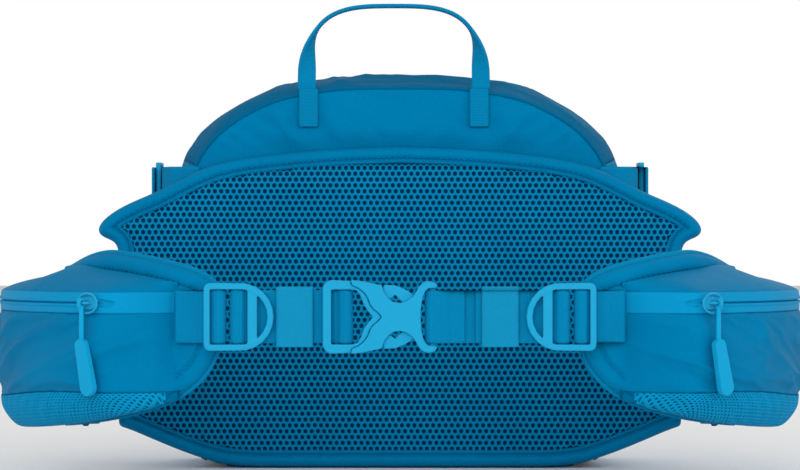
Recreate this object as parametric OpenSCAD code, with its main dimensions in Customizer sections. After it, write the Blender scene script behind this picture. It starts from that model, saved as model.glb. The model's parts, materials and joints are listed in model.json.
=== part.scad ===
// Waist pack: padded back panel with a frame sheet, a panel-loading bag behind it, two curved hip
// wings with zipped pockets, and a 25 mm belt with two ladder locks and a side-release buckle.
// Millimetres. +Z up, wearer stands at -Y of the back panel, origin at the centre of the base.

/* [Back panel] */
// Height of the back panel at its centre
panel_h = 168.5; // [160:1:176]
// Half width at the panel's upper corners
panel_half_w = 161; // [157:1:166]
// Thickness of the panel's foam
foam_t = 8; // [6:0.5:9]
// Width of the border band round the spacer mesh
border_w = 8; // [6:0.5:12]
// Distance from the origin to the panel's wearer-side face
panel_y = 29; // [20:0.5:40]

/* [Hip wings] */
// Distance of each wing's arc axis from the middle plane
wing_axis_x = 70; // [66:1:74]
// Distance of the arc axis in front of the panel's face
wing_axis_y = 50; // [48:1:52]
// Radius of the wing's middle surface about its arc axis
wing_r = 98; // [96:1:100]
// Half thickness of the padded wing
wing_half_t = 5.5; // [4:0.5:6]
// Height of the wing at its root
wing_h = 89.5; // [84:0.5:92]

/* [Wing pockets] */
// How far the pocket stands out from the wing
pocket_depth = 25; // [18:1:28]
// Height of the zip's centre line
zip_z = 89.5; // [87:0.5:91]
// Width of the zip tape
tape_w = 10; // [8:0.5:11]

/* [Belt] */
// Width of the belt webbing
webbing_w = 25; // [20:1:25]
// Thickness of the belt webbing
webbing_t = 1.6; // [1.2:0.1:1.8]
// Height of the belt's centre line
belt_z = 83; // [80:0.5:85]
// Distance of each ladder lock's pivot bar from the middle plane
pivot_x = 85.5; // [85:0.5:87]
// Distance of the buckle's centre from the middle plane
buckle_x = -9.5; // [-12:0.5:0]

/* [Bag] */
// Height of the bag's crown
bag_h = 206.5; // [200:0.5:210]
// Depth of the bag behind the panel's face, at its zip
bag_depth = 78; // [70:1:84]
// Radius of the arch that the main zip follows
arch_r = 92; // [86:1:94]
// Height of the arch's centre
arch_z = 90; // [88:1:94]
// Depth of the front pocket
front_pocket_depth = 17; // [12:1:20]

/* [Haul handle] */
// Height of the handle's top
handle_top = 243; // [236:1:246]
// Width of the handle's webbing
handle_w = 10; // [8:1:12]

/* [Hidden] */
$fn = 48;
gap = 0.3;  // running clearance between neighbouring pieces
fabric_t = 1.2;  // laminated pack cloth with its lining

blue = [0.02, 0.44, 0.62];
blue_dark = [0.01, 0.33, 0.48];
blue_mesh = [0.05, 0.34, 0.49];
blue_light = [0.08, 0.52, 0.70];
plastic_blue = [0.14, 0.58, 0.76];
natural = [0.75, 0.77, 0.78];

// ---------- curves and solids ----------

function unit(v) = v / norm(v);
function left_of(v) = [-v[1], v[0]];
function tangent(p, i) = unit(p[min(i + 1, len(p) - 1)] - p[max(i - 1, 0)]);
function inset(p, d) = [for (i = [0:len(p) - 1]) p[i] + left_of(tangent(p, i)) * d];
function reversed(p) = [for (i = [len(p) - 1:-1:0]) p[i]];
function ribbon(p, w) = concat(inset(p, w / 2), reversed(inset(p, -w / 2)));
function arc(c, r, a0, a1, n) =
  [for (i = [0:n]) c + r * [cos(a0 + (a1 - a0) * i / n), sin(a0 + (a1 - a0) * i / n)]];
function both_halves(p) = concat([for (q = reversed(p)) [-q[0], q[1]]], [for (i = [1:len(p) - 1]) p[i]]);
function ease(x) = let (c = min(1, max(0, x))) c * c * (3 - 2 * c);
function power(x, p) = sign(x) * pow(abs(x), p);
function spline_point(a, b, c, d, t) = 0.5 * (2 * b + (c - a) * t
  + (2 * a - 5 * b + 4 * c - d) * t * t + (3 * b - 3 * c + d - a) * t * t * t);
// A smooth curve through the points p, with n steps from each to the next
function spline(p, n) = let (m = len(p) - 1) concat([for (i = [0:m - 1], j = [0:n - 1])
  spline_point(p[max(i - 1, 0)], p[i], p[i + 1], p[min(i + 2, m)], j / n)], [p[m]]);

// A solid between two grids of points with the same rows and columns. wrap joins the last column to the
// first.
module skin(outer, inner, wrap = false) {
  rows = len(outer);
  cols = len(outer[0]);
  count = rows * cols;
  last = wrap ? cols - 1 : cols - 2;
  function at(k, i, j) = k * count + i * cols + j % cols;
  function quad(a, b, c, d) = [[a, b, c], [a, c, d]];
  sheets = [for (i = [0:rows - 2], j = [0:last]) each concat(
    quad(at(0, i, j), at(0, i, j + 1), at(0, i + 1, j + 1), at(0, i + 1, j)),
    quad(at(1, i, j), at(1, i + 1, j), at(1, i + 1, j + 1), at(1, i, j + 1)))];
  ends = [for (j = [0:last]) each concat(
    quad(at(0, 0, j), at(1, 0, j), at(1, 0, j + 1), at(0, 0, j + 1)),
    quad(at(0, rows - 1, j), at(0, rows - 1, j + 1), at(1, rows - 1, j + 1), at(1, rows - 1, j)))];
  sides = wrap ? [] : [for (i = [0:rows - 2]) each concat(
    quad(at(0, i, 0), at(0, i + 1, 0), at(1, i + 1, 0), at(1, i, 0)),
    quad(at(0, i, cols - 1), at(1, i, cols - 1), at(1, i + 1, cols - 1), at(0, i + 1, cols - 1)))];
  polyhedron(concat([for (r = outer) each r], [for (r = inner) each r]), concat(sheets, ends, sides));
}

// A solid through closed loops of points, each end closed by a fan to its middle
module loft(loops) {
  rows = len(loops);
  cols = len(loops[0]);
  function middle(p) = [for (k = [0:2]) let (v = [for (q = p) q[k]]) v * [for (q = p) 1] / len(p)];
  function at(i, j) = i * cols + j % cols;
  first = rows * cols;
  walls = [for (i = [0:rows - 2], j = [0:cols - 1]) each
    [[at(i, j), at(i, j + 1), at(i + 1, j + 1)], [at(i, j), at(i + 1, j + 1), at(i + 1, j)]]];
  caps = [for (j = [0:cols - 1]) each
    [[first, at(0, j + 1), at(0, j)], [first + 1, at(rows - 1, j), at(rows - 1, j + 1)]]];
  points = concat([for (r = loops) each r], [middle(loops[0]), middle(loops[rows - 1])]);
  polyhedron(points, concat(walls, caps));
}

// Everything is drawn with the panel's face at y = 0
module placed() translate([0, panel_y, 0]) children();
// A shape in x and z, given its depth from y0 to y1
module upright(y0, y1) translate([0, y1, 0]) rotate([90, 0, 0]) linear_extrude(y1 - y0) children();
// A shape in x and y, given its height from z0 to z1
module flat(z0, z1) translate([0, 0, z0]) linear_extrude(z1 - z0) children();
// Left parts are drawn as they are, and right parts are their mirror images
module sided(side) if (side > 0) mirror([1, 0, 0]) children(); else children();

// ---------- back panel ----------

root_a = 149.5;  // angle of the wing's root about its arc axis
tip_a = 261.2;
wing_root_gap = 7;  // from the wing's hinge to the panel's side
wing_root_x = wing_axis_x - wing_r * cos(root_a);
panel_side_x = wing_root_x - wing_root_gap;
corner_low = 119;
panel_top_curve = spline([[0, panel_h], [50, panel_h - 2.5], [95, panel_h - 9], [128, panel_h - 24],
  [148, panel_h - 33], [panel_half_w - 2, panel_h - 42], [panel_half_w - 1, corner_low + 3],
  [panel_half_w - 5, corner_low]], 5);
panel_low_curve = spline([[panel_side_x, 21.5], [140, 19], [127, 13.5], [112, 7.5], [96, 2.4], [80, 0.3],
  [60, 0]], 4);
panel_half = concat(panel_top_curve, [[panel_side_x, corner_low]], panel_low_curve);
panel_outline = both_halves(panel_half);
sheet_inset = 14;  // the frame sheet stops short of the straps sewn in at the panel's edge

module panel_shape(w) offset(r = -w) polygon(panel_outline);

module panel_foam() color(blue_dark) placed() upright(1.7, 1.7 + foam_t) panel_shape(0.5);
module panel_mesh() color(blue_mesh) placed() upright(0, 1.5) panel_shape(border_w);
module panel_border() color(blue) placed() upright(0.1, 1.5) difference() {
  panel_shape(0.2);
  panel_shape(border_w - 0.2);
}
module frame_sheet() color(natural) placed() upright(1.9 + foam_t, 3.1 + foam_t) panel_shape(sheet_inset);

// ---------- bag ----------

bag_y = foam_t + 3.4;  // wearer-side face of the bag's back
seam_inset = 7.5;
bag_side = spline([[92, 0.8], [108, 8], [118, 32], [121.5, 80], [120.5, 130], [116, 157], [105, 175.5],
  [88, bag_h - 17], [64, bag_h - 6], [32, bag_h - 0.6], [0, bag_h]], 3);
bag_path = concat(bag_side, [for (i = [len(bag_side) - 2:-1:0]) [-bag_side[i][0], bag_side[i][1]]]);
function bag_ring(d) = [for (i = [0:len(bag_path) - 1]) let (p = bag_path[i])
  p + left_of(tangent(bag_path, i)) * d * ease(p[1] / 60)];
function at_y(p, y) = [for (q = p) [q[0], y, q[1]]];
gusset_stations = [[0.3, seam_inset], [5, 5.5], [12, 2.5], [22, 0.5], [32, 0], [bag_depth - bag_y - 12, 0.6],
  [bag_depth - bag_y - 0.3, 4]];
front_shape = bag_ring(4.2);

module bag_back() color(blue) placed() upright(bag_y, bag_y + fabric_t)
  polygon(concat(bag_ring(seam_inset + 0.3), [[-92, 2.2], [92, 2.2]]));
side_end = 15;  // point of the ring where the bag's side is sewn to its top
function part_of(p, i0, i1) = [for (i = [i0:i1]) p[i]];
// The stretch of the gusset between two points of its ring
module gusset(i0, i1) placed() skin(
  [for (s = gusset_stations) at_y(part_of(bag_ring(s[1]), i0, i1), bag_y + fabric_t + s[0])],
  [for (s = gusset_stations) at_y(part_of(inset(bag_ring(s[1]), 1.8), i0, i1), bag_y + fabric_t + s[0])]);
module bag_top() color(blue_dark) gusset(side_end, len(bag_path) - 1 - side_end);
module bag_side(side) color(blue) sided(-side) gusset(0, side_end);
module bag_bottom() color(blue_dark) placed() flat(0, 1.8) translate([-91.5, bag_y])
  square([183, bag_depth - bag_y]);
module arch(r, low = flap_low) intersection() {
  union() {
    translate([0, arch_z]) circle(r);
    translate([-r, low]) square([2 * r, arch_z - low]);
  }
  translate([-r, low]) square([2 * r, 2 * r]);
}
flap_low = 40;
module bag_front() color(blue) placed() upright(bag_depth + fabric_t, bag_depth + 2 * fabric_t) difference() {
  polygon(concat(front_shape, [[-92, 0], [92, 0]]));
  arch(arch_r + 5, flap_low - 1.2);
}

// ---------- main zip and its flap ----------

zip_y = bag_depth + fabric_t;
coil_h = 1;  // the coil stands this proud of the tape
tape_t = 1;
module arch_band(r0, r1) difference() {
  arch(r1);
  arch(r0, flap_low - 1);
}
module main_zip_tape() color(blue_light) placed() {
  upright(zip_y, zip_y + 1) arch_band(arch_r + 0.2, arch_r + 4.8);
  upright(zip_y, zip_y + 1 + coil_h) arch_band(arch_r + 0.2, arch_r + 1.2);
}
module flap_zip_tape() color(blue_light) placed() {
  upright(zip_y, zip_y + 1) arch_band(arch_r - 4.8, arch_r - 0.2);
  upright(zip_y, zip_y + 1 + coil_h) arch_band(arch_r - 1.2, arch_r - 0.2);
}
module main_flap() color(blue) placed() upright(zip_y, zip_y + fabric_t) arch(arch_r - 5.1);
// One zip slider's shell, centred on the zip, its length along x, its outer side towards -z
slider_l = 10;
slider_w = 6.4;
slider_h = 2.1;
bail_r = 3.1;
module slider_shell() {
  difference() {
    hull() for (x = [-1, 1]) translate([x * (slider_l / 2 - 2.2), 0, -slider_h])
      cylinder(h = slider_h + 0.2, r = slider_w / 2 - (x > 0 ? 0.8 : 0));
    translate([-slider_l, -1.7, -1.2]) cube([2 * slider_l, 3.4, 3]);  // room for the coil
    translate([-slider_l, -5, -0.2]) cube([2 * slider_l, 10, 3]);
  }
  // bail that the pull's cord passes through
  translate([0, 0, 0.2 - slider_h]) rotate([90, 0, 0]) rotate_extrude(angle = -180) translate([bail_r, 0])
    circle(0.7, $fn = 16);
}
slider_lift = tape_t;  // the slider's own zero is the tape's outer face
bail_lift = slider_h - 0.2 + bail_r;  // middle of the bail's bar above the slider's own zero
main_slider_a = 7;  // angle from the top of the arch at which each main slider rests
module at_main_slider(side) placed() translate([0, 0, arch_z]) rotate([0, side * main_slider_a, 0])
  translate([0, zip_y + slider_lift, arch_r]) children();
module main_slider_left() color(plastic_blue) at_main_slider(-1) rotate([90, 0, 0]) slider_shell();
module main_slider_right() color(plastic_blue) at_main_slider(1) rotate([90, 0, 0]) slider_shell();
// Cord loop and moulded tab, hanging from the origin towards -z, flat side towards y
cord_r = 0.9;
module pull(cord_len, tab_len, tab_w, lean = 0) {
  rotate([0, 90, 0]) rotate_extrude() translate([1.75, 0]) circle(cord_r, $fn = 16);
  translate([0, 0, -cord_len - 1]) cylinder(h = cord_len, r = cord_r * 1.3, $fn = 16);
  translate([0, 1.7, -cord_len]) rotate([90, -lean, 0]) linear_extrude(3.4) hull() {
    translate([0, -1]) circle(tab_w / 2 - 0.8);
    translate([0, -tab_len + tab_w / 2]) circle(tab_w / 2);
  }
}
module main_pull_left() color(blue_light) at_main_slider(-1) translate([0, bail_lift, -0.1]) pull(8, 17, 6.5);
module main_pull_right() color(blue_light) at_main_slider(1) translate([0, bail_lift, -0.1]) pull(8, 17, 6.5);

// ---------- front pocket ----------

fp_w = 58;  // half width of the pocket, small enough for the main zip's pulls to pass round it
fp_low = 48;
fp_top = 128;
fp_r = 16;
fp_y = zip_y + fabric_t + gap;
front_zip_z = 110;
module fp_shape(d) hull() for (x = [-1, 1], z = [fp_low + fp_r, fp_top - fp_r])
  translate([x * (fp_w - fp_r), z]) circle(fp_r - d, $fn = 32);
module front_pocket() color(blue_dark) placed() upright(fp_y, fp_y + front_pocket_depth) difference() {
  fp_shape(0);
  fp_shape(fabric_t);
}
front_zip_y = fp_y + front_pocket_depth + 0.1;
module front_pocket_face() color(blue) placed() upright(front_zip_y, front_zip_y + fabric_t) difference() {
  fp_shape(0);
  translate([-fp_w + 6, front_zip_z - tape_w / 2]) square([2 * fp_w - 12, tape_w]);
}
module front_zip_tape() color(blue_light) placed() {
  upright(front_zip_y, front_zip_y + 1) translate([-fp_w + 6.2, front_zip_z - tape_w / 2 + 0.2])
    square([2 * fp_w - 12.4, tape_w - 0.4]);
  upright(front_zip_y, front_zip_y + 2) translate([-fp_w + 8, front_zip_z - 1.2])
    square([2 * fp_w - 16, 2.4]);
}
front_slider_x = -fp_w + 15;
module at_front_slider() placed() translate([front_slider_x, front_zip_y + slider_lift, front_zip_z])
  children();
module front_slider() color(plastic_blue) at_front_slider() rotate([90, 0, 0]) slider_shell();
module front_pull() color(blue_light) at_front_slider() translate([0, bail_lift, -0.1]) pull(8, 17, 6.5);

// ---------- haul handle ----------

handle_xl = -48;
handle_xr = 41.5;
handle_foot = bag_h - 7;
handle_y = bag_y - 1;
handle_t = 1.8;
handle_path = spline([[handle_xl, handle_foot], [handle_xl - 0.5, handle_foot + 14],
  [handle_xl + 5, handle_top - 14], [handle_xl + 19, handle_top - 3], [-3, handle_top - 1],
  [handle_xr - 19, handle_top - 3], [handle_xr - 5, handle_top - 14],
  [handle_xr + 0.5, handle_foot + 14], [handle_xr, handle_foot]], 4);
// The webbing lies flat in the seam at its feet, and turns a quarter to stand on edge across the top
function handle_loop(i) = let (n = len(handle_path) - 1, p = handle_path[i], d = tangent(handle_path, i),
    a = 90 * ease((1 - abs(2 * i / n - 1)) * 2.2), across = [d[1], 0, -d[0]] * cos(a) + [0, 1, 0] * sin(a),
    thick = [d[1], 0, -d[0]] * -sin(a) + [0, 1, 0] * cos(a))
  [for (q = [[-1, -1], [1, -1], [1, 1], [-1, 1]])
    [p[0], handle_y, p[1]] + across * q[0] * handle_w / 2 + thick * q[1] * handle_t / 2];
module haul_handle() color(blue_dark) placed()
  loft([for (i = [0:len(handle_path) - 1]) reversed(handle_loop(i))]);
// End of the handle's webbing, sewn flat to the bag's back below the fold
tab_l = 20;
tab_top = handle_foot - 1.2;
module handle_tab(x) color(blue_dark) placed()
  translate([x - handle_w / 2, handle_y - handle_t / 2, tab_top - tab_l]) cube([handle_w, handle_t, tab_l]);

// ---------- side straps that draw the bag towards the panel ----------

side_z = 150;
side_w = 15;
side_lock_x = 128;
side_lock_y = 30;
side_bar_r = 1.5;
side_loop_r = side_bar_r + 0.25 + webbing_t / 2;
side_lock_l = 15;
module side_anchor(side) sided(side) color(blue_dark) placed() flat(side_z - side_w / 2, side_z + side_w / 2)
  polygon(ribbon(concat([[-105, bag_y - 0.9], [-112, bag_y - 0.9], [-120, bag_y + 1], [-124.5, bag_y + 8]],
    arc([-side_lock_x, side_lock_y], side_loop_r, 0, 180, 10),
    [[-side_lock_x - side_loop_r, side_lock_y - 6]]), webbing_t - 0.2));
module side_lock(side) sided(side) color(plastic_blue) placed() translate([-side_lock_x, side_lock_y, side_z]) {
  cylinder(h = side_w + 3, r = side_bar_r, center = true);
  difference() {
    translate([-1.6, 0, -side_w / 2 - 2.6]) cube([3.2, side_lock_l, side_w + 5.2]);
    translate([-3, -1, -side_w / 2 - 0.4]) cube([6, 5.2, side_w + 0.8]);
    translate([-3, 7.2, -side_w / 2 - 0.4]) cube([6, 4.6, side_w + 0.8]);
  }
}
module side_strap(side) sided(side) color(blue_dark) placed() flat(side_z - side_w / 2, side_z + side_w / 2)
  polygon(ribbon(concat([[-side_lock_x + 5, side_lock_y + 32], [-side_lock_x + 3.2, side_lock_y + 18],
    [-side_lock_x + 3.0, side_lock_y + 11], [-side_lock_x + 2.8, side_lock_y + 9]],
    [[-side_lock_x, side_lock_y + 8.8], [-side_lock_x - 2.8, side_lock_y + 9.2],
    [-side_lock_x - 3.4, side_lock_y + 14], [-side_lock_x - 3.8, side_lock_y + 24]]), webbing_t - 0.2));

// ---------- hip wings ----------

wing_low = 25;
function wing_a(t) = root_a + (tip_a - root_a) * t;
function wing_point(t, r, z) = [-wing_axis_x + r * cos(wing_a(t)), -wing_axis_y + r * sin(wing_a(t)), z];
function wing_half_h(t) = wing_h / 2 * pow(max(1 - pow(t, 3.5), 0.002), 0.3);
function wing_mid_z(t) = wing_low + wing_h / 2 + 7 * t + 7 * pow(t, 16);
wing_rows = 30;
function wing_t(i) = 1 - pow(1 - i / wing_rows, 1.5);
wing_outer = wing_r + wing_half_t;
// The foam stops short of the bead that binds its edge
foam_end = 0.985;
function foam_half_h(t) = wing_half_h(t + 0.012) - 1.8;
module wing(side) sided(side) color(blue) placed() loft([for (i = [0:wing_rows]) let (t = foam_end * wing_t(i))
  [for (a = [0:22.5:359]) wing_point(t, wing_r + wing_half_t * power(cos(a), 0.6),
    wing_mid_z(t) + foam_half_h(t) * power(sin(a), 0.4))]]);
// Binding bead round the wing's edge, from the root along the top, round the tip and back
bead_r = 1.3;
bead_n = 54;
function bead_t(i) = wing_t((1 - abs(2 * i / bead_n - 1)) * wing_rows);
function bead_point(i) = let (t = bead_t(i), s = i <= bead_n / 2 ? 1 : -1, k = i == bead_n / 2 ? 0 : s)
  wing_point(t, wing_r, wing_mid_z(t) + k * (wing_half_h(t)));
function bead_loop(i) = let (p = bead_point(i), q = bead_point(min(i + 1, bead_n)) - bead_point(max(i - 1, 0)),
    d = unit(q), out = unit([p[0] + wing_axis_x, p[1] + wing_axis_y, 0]), side = cross(out, d))
  [for (a = [0:60:359]) p + bead_r * (out * cos(a) * 1.6 + unit(side) * sin(a))];
module wing_binding(side) sided(side) color(blue_light) placed()
  loft([for (i = [0:bead_n]) reversed(bead_loop(i))]);

// ---------- wing pockets ----------

pocket_t0 = 0.045;
pocket_t1 = 0.885;
pocket_rows = 30;
function pocket_t(i) = pocket_t0 + (pocket_t1 - pocket_t0) * i / pocket_rows;
function swell(t) = 0.8 + pocket_depth * ease((t - pocket_t0) / 0.16) * ease((pocket_t1 - t) / 0.11);
function pocket_low(t) = wing_mid_z(t) - wing_half_h(t) + 1.5;
function mesh_top(t) = pocket_low(t) + 0.3 * (zip_z - tape_w / 2 - pocket_low(t));
pocket_top_z = 110.5;
// Profiles across the pocket as [share of the swell, height]
function top_profile(t) = spline([[0, pocket_top_z], [0.4, pocket_top_z - 3], [0.8, pocket_top_z - 9],
  [0.98, zip_z + tape_w / 2 + 0.3]], 3);
function zip_profile(t) = [[0.98, zip_z + tape_w / 2], [1, zip_z + 1.4], [1, zip_z + 1.2], [1, zip_z - 1.2],
  [1, zip_z - 1.4], [1, zip_z - tape_w / 2 + 0.3]];
// The coil stands 1 mm proud of the tape
function zip_outside(p) = [for (i = [0:len(p) - 1]) p[i] + [i == 2 || i == 3 ? coil_h : 0, 0]];
function face_profile(t) = let (a = zip_z - tape_w / 2, b = mesh_top(t) + 0.3)
  spline([[1, a], [1.03, a - 0.3 * (a - b)], [1.03, a - 0.7 * (a - b)], [0.98, b]], 2);
function mesh_profile(t) = let (a = mesh_top(t), b = pocket_low(t))
  spline([[0.97, a], [0.87, a - 0.45 * (a - b)], [0.55, a - 0.85 * (a - b)], [0, b]], 3);
function to_radius(p, t) = [for (q = p) [wing_outer + gap + q[0] * swell(t), q[1]]];
module pocket_skin(side, kind, thick) {
  function profile(t) = to_radius(kind == 0 ? top_profile(t) : kind == 1 ? zip_profile(t)
    : kind == 2 ? face_profile(t) : mesh_profile(t), t);
  function outside(p) = kind == 1 ? zip_outside(inset(p, thick)) : inset(p, thick);
  function across(p, t) = [for (q = p) wing_point(t, q[0], q[1])];
  sided(side) placed() skin(
    [for (i = [0:pocket_rows]) let (t = pocket_t(i)) across(outside(profile(t)), t)],
    [for (i = [0:pocket_rows]) let (t = pocket_t(i)) across(profile(t), t)]);
}
module pocket_top(side) color(blue_dark) pocket_skin(side, 0, fabric_t);
module pocket_zip(side) color(blue_light) pocket_skin(side, 1, 1);
module pocket_face(side) color(blue) pocket_skin(side, 2, fabric_t);
module pocket_mesh(side) color(blue_mesh) pocket_skin(side, 3, 1);
zip_r = wing_outer + gap + 0.8 + pocket_depth;
slider_t = 0.755;
module at_wing_slider(side) sided(side) placed() translate([-wing_axis_x, -wing_axis_y, zip_z])
  rotate([0, 0, wing_a(slider_t)]) translate([zip_r + slider_lift, 0, 0]) rotate([0, 0, -90]) children();
module wing_slider(side) color(plastic_blue) at_wing_slider(side) rotate([90, 0, 0]) slider_shell();
module wing_pull(side, lean) color(blue_light) at_wing_slider(side) translate([0, bail_lift, -0.1])
  pull(19, 25, 8, lean);

// ---------- belt ----------

belt_y = -wing_axis_y - wing_outer - 3.6;  // plane of the bars that the webbing turns round
run_t = webbing_t - 0.1;  // webbing as drawn, with room between its layers
bar_r = 1.7;
turn_r = bar_r + 0.25 + run_t / 2;  // middle of the webbing where it turns round a bar
front_run = 1.25;  // layers of webbing behind the bars' plane
back_run = 2.95;
anchor_band = wing_outer + gap + run_t / 2;
module across_belt(side) sided(side) placed() translate([-pivot_x, belt_y, belt_z]) children();
module webbing(path) translate([0, 0, -webbing_w / 2]) linear_extrude(webbing_w) polygon(ribbon(path, run_t));
function from_pivot(p) = [for (q = p) q - [-pivot_x, belt_y]];
function wing_arc(r, t0, t1, n) =
  from_pivot([for (i = [0:n]) let (p = wing_point(t0 + (t1 - t0) * i / n, r, 0)) [p[0], p[1]]]);

// Sewn to the wing, its loop holds the ladder lock's first bar
module wing_anchor(side) color(blue_light) across_belt(side) webbing(concat(
  wing_arc(anchor_band, 0.895, 0.955, 6), [[-5, 3.75]],
  arc([0, 0], turn_r, 90, -90, 10), [[-1.7, -2.1], [-3.6, 0.1], [-6, 1.9]],
  reversed(wing_arc(anchor_band + webbing_t, 0.9, 0.95, 5))));

lock_w = 32;
lock_back = -7;  // outer edge of the rail on the wing's side
lock_front = 26;  // outer edge of the curved rim
mid_bar_x = 8.7;
lock_rim = 2.9;
function lock_outline(d) = both_d(concat(arc([lock_back + 3, lock_w / 2 - 3], 3 - d, 180, 90, 4),
  [for (a = [80:-16:0]) [10 + (lock_front - 10 - d) * cos(a), (lock_w / 2 - d) * sin(a)]]));
function both_d(p) = concat(p, [for (i = [len(p) - 1:-1:0]) [p[i][0], -p[i][1]]]);
module slab(y0, y1) translate([0, y1, 0]) rotate([90, 0, 0]) linear_extrude(y1 - y0) children();
module beam(x0, x1, z) translate([x0, -z]) square([x1 - x0, 2 * z]);
// D-shaped ladder lock. x runs from its first bar towards the buckle, and the wearer's front is -y
module ladder_lock(side) color(plastic_blue) across_belt(side) {
  for (x = [0, mid_bar_x]) translate([x, 0, 0]) cylinder(h = webbing_w + 3, r = bar_r, center = true);
  slab(-3.4, -0.9) difference() {
    polygon(lock_outline(0));
    intersection() {
      polygon(lock_outline(lock_rim));
      beam(lock_back + lock_rim, lock_front, webbing_w / 2 + 0.5);
    }
  }
  slab(-3.2, -0.3) beam(13.6, 18.2, webbing_w / 2 + 1);
  // cheeks that carry the two bars
  for (z = [-1, 1]) slab(-1.5, 2) translate([-2.4, z * (webbing_w / 2 + 1.7) - 1.2])
    square([mid_bar_x + 4.8, 2.4]);
}
male_bar_x = -16.2;  // bars that the webbing turns round, from the buckle's centre
female_bar_x = 24.6;
reach_left = pivot_x + buckle_x + male_bar_x;
reach_right = pivot_x - buckle_x - female_bar_x;
join_x = 36;  // where the left webbing's ends meet, under the keeper
module belt_webbing_left() color(blue_light) across_belt(-1) webbing(concat(
  [[join_x + 0.3, front_run], [reach_left - 7, front_run], [reach_left - 3.4, -0.2], [reach_left - 1.9, -2.0]],
  arc([reach_left, 0], turn_r, -90, 90, 10),
  [[reach_left - 5, back_run], [mid_bar_x + 5, back_run]],
  arc([mid_bar_x, 0], turn_r, 90, 270, 10),
  [[mid_bar_x + 1.9, -2.0], [mid_bar_x + 3.4, -0.2], [mid_bar_x + 6, front_run], [join_x - 0.3, front_run]]));
fold_x = 55;  // sewn end of the right webbing's fold
module belt_webbing_right() color(blue_light) across_belt(1) webbing(concat(
  [[fold_x, front_run - 0.1], [reach_right - 9, 0.9], [reach_right - 4, -1.3]],
  arc([reach_right, 0], turn_r, -90, 90, 10),
  [[reach_right - 5, back_run], [mid_bar_x + 5, back_run]],
  arc([mid_bar_x, 0], turn_r, 90, 270, 10),
  [[mid_bar_x + 1.9, -2.0], [mid_bar_x + 3.4, -0.2], [mid_bar_x + 6, front_run], [fold_x - 5, front_run]]));
keeper_l = 17.5;
keeper_wall = 1.3;
keeper_mid = (front_run + back_run) / 2;
function keeper_x(side) = side < 0 ? 27 : 29.5;
module keeper(side) color(blue_light) across_belt(side)
  translate([keeper_x(side), keeper_mid, 0]) rotate([90, 0, 90]) linear_extrude(keeper_l) difference() {
    square([2 * run_t + 0.9 + 2 * keeper_wall, webbing_w + 0.8 + 2 * keeper_wall], center = true);
    square([2 * run_t + 0.9, webbing_w + 0.8], center = true);
  }

// ---------- side-release buckle, drawn about its own centre with x along the belt ----------

plate_gap = 5;  // space between the female half's two plates
plate_t = 2;
module at_buckle() placed() translate([buckle_x, belt_y, belt_z]) children();
// Upper half of the line where the two halves meet, from the edge to the nose
meeting = [[-13.8, 16.9], [-13.4, 15], [-10, 13.5], [-7.5, 11.4], [-5.8, 8.9], [-4.8, 6], [-3.3, 3.9],
  [-1.2, 2.2], [0.5, 0.4]];
throat = [[-12.6, 12.9], [-10.5, 12.3], [-8.8, 9.3], [-7.5, 5.6], [-5.4, 2.6], [-3.4, 0.3]];
function shifted(p, x) = [for (q = p) q + [x, 0]];
module buckle_male() color(plastic_blue) at_buckle() {
  translate([male_bar_x, 0, 0]) cylinder(h = webbing_w + 3, r = bar_r, center = true);
  difference() {
    slab(-3.5, 3.5) polygon(both_d(concat(arc([-22.4, 12.8], 4.5, 180, 90, 6), meeting)));
    slab(-5, 5) polygon(both_d(concat([[-22.9, 12.9]], throat)));
    slab(-0.3, 5) beam(-30, -20, 12.9);
  }
  // guide tongue
  slab(-1.5, 1.5) translate([-1, -1.4]) square([14, 2.8]);
}
module prong() color(plastic_blue) slab(-plate_gap / 2 + 0.3, plate_gap / 2 - 0.3)
  polygon([[-5.1, 9.6], [-4.4, 6.9], [0, 7.6], [4, 8.2], [5.5, 8.9], [7.2, 10.4], [9.3, 8.1], [10.6, 7],
  [13, 6], [15.2, 7.4], [16.1, 9.8], [15.2, 10.8], [11.9, 12.9],
  [7.2, 14.8], [1.8, 15], [1.5, 11.6], [-2, 10.6]]);
module prong_upper() at_buckle() prong();
module prong_lower() at_buckle() mirror([0, 0, 1]) prong();
window = [[0.9, 14.8], [2.2, 11], [4.3, 8.5], [6.4, 7], [9.8, 6.6], [13.1, 7.6], [15.7, 9.8]];
horn = [[16.9, 11.4], [18.2, 14], [20.3, 16.1], [22.8, 16.9], [25.8, 16.1], [27, 14.6], [26.4, 13.7],
  [22.8, 13.5], [21.6, 12.3], [20.3, 9.8], [19.5, 5.6], [19.2, 0]];
module buckle_female() color(plastic_blue) at_buckle() {
  difference() {
    slab(-plate_gap / 2 - plate_t, plate_gap / 2 + plate_t)
      polygon(both_d(concat(shifted(reversed(meeting), gap),
        [[-13.3, 17.3], [-9.2, 16.9], [-3.3, 15.7]], window, horn)));
    // cavity for the prongs, and the windows that their ears show through
    slab(-plate_gap / 2, plate_gap / 2) beam(-16, 16.6, 12.7);
    slab(-plate_gap / 2, plate_gap / 2) beam(1, 16.6, 18);
  }
  translate([female_bar_x, 0, 0]) cylinder(h = webbing_w + 5, r = bar_r, center = true);
}

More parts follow.
